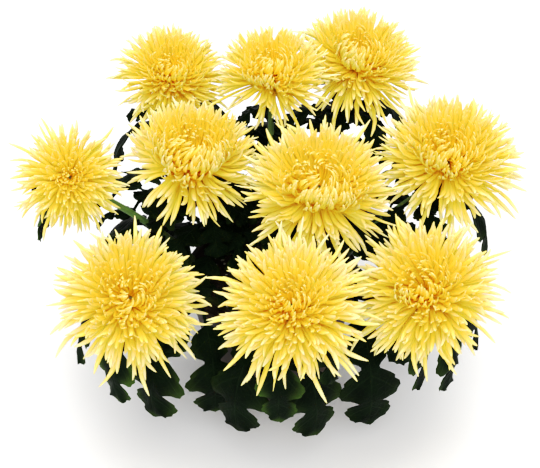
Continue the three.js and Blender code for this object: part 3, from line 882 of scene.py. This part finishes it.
# A leaf's outline from stalk to tip: the reach down its rib, its half-width as a share of the widest, and
# how far the edge leans on towards the tip.
LEAF_OUTLINE = (
    (0, 0.055, 0), (0.2, 0.05, 0), (0.24, 0.10, 0), (0.262, 0.34, 0.0),
    (0.285, 0.50, 0.008), (0.30, 0.60, 0.025), (0.312, 0.58, 0.038), (0.325, 0.70, 0.05),
    (0.34, 0.66, 0.062), (0.355, 0.56, 0.062), (0.375, 0.57, 0.07), (0.395, 0.46, 0.066),
    (0.42, 0.34, 0.055), (0.445, 0.27, 0.045), (0.462, 0.28, 0.045), (0.478, 0.44, 0.05),
    (0.495, 0.66, 0.066), (0.51, 0.80, 0.08), (0.522, 0.79, 0.092), (0.535, 0.96, 0.112),
    (0.55, 1.0, 0.134), (0.565, 0.90, 0.145), (0.585, 0.86, 0.15), (0.605, 0.74, 0.14),
    (0.63, 0.60, 0.115), (0.66, 0.46, 0.09), (0.69, 0.36, 0.07), (0.71, 0.33, 0.06),
    (0.726, 0.40, 0.062), (0.742, 0.54, 0.07), (0.758, 0.66, 0.082), (0.772, 0.64, 0.092),
    (0.787, 0.72, 0.108), (0.803, 0.66, 0.118), (0.822, 0.57, 0.115), (0.84, 0.56, 0.112),
    (0.86, 0.46, 0.095), (0.885, 0.40, 0.072), (0.905, 0.42, 0.06), (0.925, 0.36, 0.045),
    (0.945, 0.34, 0.03), (0.965, 0.24, 0.016), (0.985, 0.16, 0.006), (1, 0.05, 0),
)
OUTLINE_REACH, OUTLINE_HALF, OUTLINE_SWEEP = np.array(LEAF_OUTLINE).T
LEAF_COLUMNS = 12
STALK_END = 0.24


def leaf_template():
    """A flat closed blade of one unit: two faces and the rim between them. Z is 0 on top and -1 below."""
    bm = bmesh.new()
    rows = len(LEAF_OUTLINE) - 1
    bmesh.ops.create_grid(bm, x_segments=LEAF_COLUMNS, y_segments=rows, size=1)
    for vert in bm.verts:
        row = round((vert.co.y + 1) / 2 * rows)
        vert.co.y = LEAF_OUTLINE[row][0]
    top = bm.faces[:]
    lower = bmesh.ops.duplicate(bm, geom=bm.verts[:] + bm.edges[:] + top)["geom"]
    lower_verts = [each for each in lower if isinstance(each, bmesh.types.BMVert)]
    bmesh.ops.translate(bm, vec=(0, 0, -1), verts=lower_verts)
    under = [each for each in lower if isinstance(each, bmesh.types.BMFace)]
    bmesh.ops.bridge_loops(bm, edges=[each for each in bm.edges if each.is_boundary])
    bmesh.ops.recalc_face_normals(bm, faces=bm.faces)
    for face in bm.faces:
        face.material_index = 1
    for face in under:
        face.material_index = 2
    map_strip(bm, 1)
    return Strip(bm)


BLADE = leaf_template()
BLADE_HALF = np.interp(BLADE.flat[:, 1], OUTLINE_REACH, OUTLINE_HALF)
BLADE_SWEEP = np.interp(BLADE.flat[:, 1], OUTLINE_REACH, OUTLINE_SWEEP)

# A leaf's relief in millimetres: how deep and wide its rib and side veins sink, how high the blade swells
# between them and its edge waves, and how thick stalk and blade are. The pitch is a share of its length.
VEIN_SINK = 0.7
SIDE_VEIN_SHARE = 0.6
RIB_WIDTH = 1.3
SIDE_VEIN_WIDTH = 1.5
QUILT = 1.1
QUILT_PITCH = 0.235
EDGE_WAVE = 1.1
EDGE_RIPPLES = 34
STALK_THICKNESS = 2.2
BLADE_THICKNESS = 0.75


def leaf_points(leaf, draw):
    """A leaf's vertices: the plan's surface with lobes, sunken veins and a light wave at its edge."""
    u, v, depth = BLADE.flat.T
    sag = mix(1.0, 1.25, draw.uniform()) * np.abs(u) ** 0.35
    points = leaf.surface(v, BLADE_SWEEP * np.abs(u) ** 1.1, u * BLADE_HALF, sag)
    blade = np.clip((v - STALK_END) / 0.08, 0, 1)
    away = np.abs(u) * BLADE_HALF * leaf.width
    relief = -VEIN_SINK * np.exp(-(away / RIB_WIDTH) ** 2)
    for place in VEINS_AT:
        sunk = np.exp(-(((v - place) * leaf.length) / SIDE_VEIN_WIDTH) ** 2) * (np.abs(u) > 0.02)
        relief = relief - SIDE_VEIN_SHARE * VEIN_SINK * sunk
    swell = np.sin(np.pi * np.clip(away / (leaf.width * 0.7), 0, 1))
    swell = swell * np.cos((v - 0.44) * 2 * np.pi / QUILT_PITCH)
    phase = draw.uniform(0, 2 * np.pi, 2)
    wave = np.sin(v * EDGE_RIPPLES + np.where(u > 0, phase[0], phase[1])) * np.abs(u) ** 2.5
    lean = draw.normal(0, 0.05) * u * BLADE_HALF * leaf.width
    relief = blade * (relief + QUILT * swell + EDGE_WAVE * wave + lean)
    thick = mix(STALK_THICKNESS, BLADE_THICKNESS, blade)
    return points + (relief + depth * thick)[:, None] * leaf.normal(v)


def leaf_growth(light):
    """For each vertex of a leaf, how light its lobe tips are and how near it is to one."""
    u, v, _ = BLADE.flat.T
    edge = np.clip((np.abs(u) - 0.62) / 0.38, 0, 1) * np.clip((BLADE_HALF - 0.35) / 0.4, 0, 1)
    edge = np.maximum(edge, np.clip((v - 0.93) / 0.07, 0, 1))
    return np.stack([np.full(len(u), light), edge], axis=1)


STEM_SIDES = 12
STEM_RINGS = 30


def add_stem(bm, plant):
    """A ribbed round stem along its line, closed at both ends."""
    shares = np.linspace(0, 1, STEM_RINGS + 1)
    points = plant.along_stem(shares)
    runs = unit(np.gradient(points, axis=0))
    ring = bmesh.ops.create_circle(bm, segments=STEM_SIDES, radius=1)["verts"]
    edges = list({edge for vert in ring for edge in vert.link_edges})
    bmesh.ops.holes_fill(bm, edges=edges)
    for step, (point, run) in enumerate(zip(points, runs)):
        if step:
            grown = bmesh.ops.extrude_edge_only(bm, edges=edges)["geom"]
            edges = [each for each in grown if isinstance(each, bmesh.types.BMEdge)]
            ring = [each for each in grown if isinstance(each, bmesh.types.BMVert)]
        side = unit(np.cross(run, (0.31, 0.95, 0.0)))
        front = np.cross(side, run)
        size = STEM_RADIUS * np.interp(shares[step], (0, 0.45, 0.9, 1), (1.0, 0.92, 0.84, 1.0))
        for k, vert in enumerate(ring):
            angle = 2 * math.pi * k / STEM_SIDES
            ribbed = size * (1 + 0.07 * (-1) ** k)
            vert.co = point + ribbed * (math.cos(angle) * side + math.sin(angle) * front)
    bmesh.ops.holes_fill(bm, edges=edges)


AXIS_RADIUS = 0.01


def spun(profile, steps, merge=0.03):
    """A closed surface of revolution about +Z from (radius, height) pairs, whose ends lie on the axis."""
    bm = bmesh.new()
    verts = [bm.verts.new((max(radius, AXIS_RADIUS), 0, height)) for radius, height in profile]
    edges = [bm.edges.new(pair) for pair in zip(verts, verts[1:])]
    bmesh.ops.spin(bm, geom=verts + edges, cent=(0, 0, 0), axis=(0, 0, 1), angle=2 * math.pi, steps=steps,
                   use_merge=True)
    bmesh.ops.remove_doubles(bm, verts=bm.verts, dist=merge)
    bmesh.ops.recalc_face_normals(bm, faces=bm.faces)
    return bm


BRACTS = 18
BRACT_SIZE = (0.5, 1.7, 3.6)


def add_calyx(bm, plant):
    """The green cup under a bloom, with two rows of overlapping scales."""
    top = SEAT - SEAT_GAP
    profile = ((0, top - CALYX_DEPTH), (STEM_RADIUS * 1.2, top - CALYX_DEPTH), (6.5, top - 5.0),
               (8.6, top - 2.6), (CALYX_RADIUS - 0.6, top - 0.6), (8.0, top), (0, top))
    cup = spun(profile, 24, 0.02)
    for k in range(BRACTS):
        row = k % 2
        turn = Matrix.Rotation(2 * math.pi * k / BRACTS, 4, "Z")
        place = Matrix.Translation((6.9 + 0.9 * row, 0, top - 4.0 + 1.0 * row))
        tilt = Matrix.Rotation(math.radians(62 - 14 * row), 4, "Y")
        shape = turn @ place @ tilt @ Matrix.Diagonal((*BRACT_SIZE, 1))
        bmesh.ops.create_icosphere(cup, subdivisions=2, radius=1, matrix=shape)
    bmesh.ops.recalc_face_normals(cup, faces=cup.faces)
    bmesh.ops.transform(cup, matrix=bloom_matrix(plant), verts=cup.verts)
    made = bpy.data.meshes.new("calyx")
    cup.to_mesh(made)
    cup.free()
    bm.from_mesh(made)


LEAF_SEED = 700
LARGE_LEAF = 80


def leafy_stem_piece(plant, leaves):
    """A stem with its calyx and its leaves, of which the large ones may have lighter lobe tips."""
    draw = np.random.default_rng(LEAF_SEED + plant.index)
    bm = empty_bmesh()
    add_stem(bm, plant)
    add_calyx(bm, plant)
    bmesh.ops.recalc_face_normals(bm, faces=bm.faces)
    for face in bm.faces:
        face.smooth = True
    for leaf in leaves:
        light = draw.uniform(0, 0.75 if leaf.length > LARGE_LEAF else 0.3)
        BLADE.lay(bm, leaf_points(leaf, draw), leaf_growth(light))
    node = f"leafy_stem_{plant.number}"
    return finish_piece(f"{node}_green", bm, [STEM, LEAF_TOP, LEAF_UNDER], node)


def pot_piece():
    """A plain tapered pot with a rolled band round its mouth and a closed floor."""
    def radius_at(z):
        return mix(POT_FOOT, POT_MOUTH, z / POT_HEIGHT)

    band = POT_HEIGHT - POT_BAND
    profile = (
        (0, 0), (POT_FOOT - 3, 0), (POT_FOOT - 1.2, 0), (POT_FOOT - 0.3, 0.5), (POT_FOOT, 1.6),
        (radius_at(band) - 0.2, band - 0.8), (radius_at(band) + POT_LIP - 0.8, band),
        (radius_at(band) + POT_LIP, band + 0.8), (POT_MOUTH + POT_LIP - 0.6, POT_HEIGHT - 2.4),
        (POT_MOUTH + POT_LIP, POT_HEIGHT - 1.6), (POT_MOUTH + POT_LIP - 0.2, POT_HEIGHT - 0.6),
        (POT_MOUTH + POT_LIP - 0.9, POT_HEIGHT), (POT_MOUTH - POT_WALL + 1, POT_HEIGHT),
        (POT_MOUTH - POT_WALL, POT_HEIGHT - 1), (POT_FOOT - POT_WALL, POT_FLOOR), (0, POT_FLOOR),
    )
    bm = spun(profile, 96)
    for face in bm.faces:
        face.smooth = True
    piece = finish_piece("pot_moulded", bm, [POT_PLASTIC], "pot")
    sharpen(piece, 50)
    return piece


def sharpen(piece, angle):
    """Keeps the edges that turn more than an angle crisp on a smooth piece."""
    bm = bmesh.new()
    bm.from_mesh(piece.data)
    for edge in bm.edges:
        if len(edge.link_faces) == 2 and edge.calc_face_angle() > math.radians(angle):
            edge.smooth = False
    bm.to_mesh(piece.data)
    bm.free()


def soil_height(x, y):
    """How far the crumbly surface of the soil stands above its plain crown."""
    broad = np.sin(x * 0.35 + 1.3) * np.sin(y * 0.31 + 0.4)
    fine = 0.6 * np.sin(x * 0.83 + y * 0.52) * np.sin(y * 0.9 - x * 0.4)
    return 0.7 * (broad + fine)


CRUMBS = 420
SOIL_SEED = 31
SOIL_RINGS = 14
SOIL_SETTLED = 0.6


def soil_piece():
    """Loose peat with crumbs, bits of bark and a little perlite."""
    slope = (POT_MOUTH - POT_FOOT) / (POT_HEIGHT - POT_FLOOR)
    foot = POT_FOOT - POT_WALL - SOIL_GAP
    rim = foot + slope * (SOIL_TOP - POT_FLOOR - SOIL_GAP)
    knee = POT_MOUTH * 0.5

    def crown(out):
        """The height of the soil's plain crown at a distance from the middle."""
        return np.interp(out, (0, knee, rim), (SOIL_TOP + SOIL_CROWN, SOIL_TOP + 3, SOIL_TOP))

    top = [(rim * k / SOIL_RINGS, crown(rim * k / SOIL_RINGS)) for k in range(SOIL_RINGS, -1, -1)]
    bm = spun([(0, POT_FLOOR + SOIL_GAP), (foot, POT_FLOOR + SOIL_GAP), *top], 64)
    for vert in bm.verts:
        out = math.hypot(vert.co.x, vert.co.y)
        if vert.co.z > SOIL_TOP - 1 and out < rim - 2:
            vert.co.z += soil_height(vert.co.x, vert.co.y) - SOIL_SETTLED
    draw = np.random.default_rng(SOIL_SEED)
    for _ in range(CRUMBS):
        angle, out = draw.uniform(0, 2 * math.pi), (rim - 3) * math.sqrt(draw.uniform())
        x, y = out * math.cos(angle), out * math.sin(angle)
        base = crown(out) + soil_height(x, y) - SOIL_SETTLED
        size = draw.uniform(0.5, 1.9)
        kind = draw.choice((0, 0, 0, 0, 1, 1, 2))
        turn = Matrix.Rotation(draw.uniform(0, 6.28), 4, "Z")
        tilt = Matrix.Rotation(draw.uniform(0, 3.14), 4, "X")
        flat = Matrix.Diagonal((size, size * 0.75, size * draw.uniform(0.4, 0.8), 1))
        shape = Matrix.Translation((x, y, base)) @ (turn @ tilt) @ flat
        made = bmesh.ops.create_icosphere(bm, subdivisions=1, radius=1, matrix=shape)["verts"]
        for vert in made:
            vert.co += Vector(draw.normal(0, 0.08, 3)) * size
        for face in {face for vert in made for face in vert.link_faces}:
            face.material_index = int(kind)
    return finish_piece("soil_loose", bm, [PEAT, BARK, PERLITE], "soil")


leaves_by_stem = grow_leaves()
pot_piece()
soil_piece()
for plant in plants:
    bloom_piece(plant)
    leafy_stem_piece(plant, leaves_by_stem[plant.index])


# The floor and the light, in metres and watts. Each soft light has a name, a place, a size and a power, and
# shines at the middle of the plant.
FLOOR_SIZE = 80
FLOOR_WHITE = 0.98
ROOM_LIGHT = 0.88
SOFT_LIGHTS = (("front", (0.0, -1.3, 1.7), 1.4, 10), ("above", (0.0, 0.2, 1.9), 2.2, 26))
LIT_POINT = (0, 0, 0.12)

# Light goes on between pale florets for many bounces, which makes the hearts glow.
LIGHT_BOUNCES = 20

# Points of a tone curve, which lifts the middle tones and leaves the dark greens and the white floor.
TONE_CURVE = ((0.05, 0.05), (0.14, 0.205), (0.27, 0.42), (0.42, 0.575), (0.75, 0.785))


def studio():
    """A pale floor, soft light from all round and from the soft lights, and the tone curve."""
    scene = bpy.context.scene
    bpy.ops.mesh.primitive_plane_add(size=FLOOR_SIZE, location=(0, 0, 0))
    floor = bpy.context.object
    floor.name = "floor"
    floor.data.materials.append(plain_material("white floor", grey(FLOOR_WHITE), 0.9))
    scene.world = bpy.data.worlds.new("white room")
    scene.world.use_nodes = True
    background = scene.world.node_tree.nodes["Background"]
    background.inputs["Color"].default_value = (1, 1, 1, 1)
    background.inputs["Strength"].default_value = ROOM_LIGHT
    for light in SOFT_LIGHTS:
        soft_light(*light)
    scene.cycles.max_bounces = LIGHT_BOUNCES
    scene.cycles.diffuse_bounces = LIGHT_BOUNCES
    scene.view_settings.view_transform = "Standard"
    scene.view_settings.use_curve_mapping = True
    tone = scene.view_settings.curve_mapping
    for level in TONE_CURVE:
        tone.curves[3].points.new(*level)
    tone.update()


def soft_light(name, place, size, watts):
    lamp = bpy.data.lights.new(name, "AREA")
    lamp.shape, lamp.size, lamp.energy = "DISK", size, watts
    light = bpy.data.objects.new(name, lamp)
    light.location = place
    light.rotation_euler = (Vector(LIT_POINT) - Vector(place)).to_track_quat("-Z", "Y").to_euler()
    bpy.context.scene.collection.objects.link(light)


# The camera looks at this point, from this far away, in metres, with this lens, in millimetres.
LOOK_AT = (-0.0015, 0, 0.14)
DISTANCE = 1.1
LENS = 97.8
SENSOR = 36


def viewpoint():
    """The photograph's viewpoint, looking down at the middle of the plant."""
    lift = math.radians(VIEW_LIFT)
    lens = bpy.data.cameras.new("camera")
    lens.sensor_width, lens.lens = SENSOR, LENS
    camera = bpy.data.objects.new("camera", lens)
    camera.location = Vector(LOOK_AT) + DISTANCE * Vector((0, -math.cos(lift), math.sin(lift)))
    camera.rotation_euler = (math.pi / 2 - lift, 0, 0)
    bpy.context.scene.collection.objects.link(camera)
    bpy.context.scene.camera = camera


studio()
viewpoint()
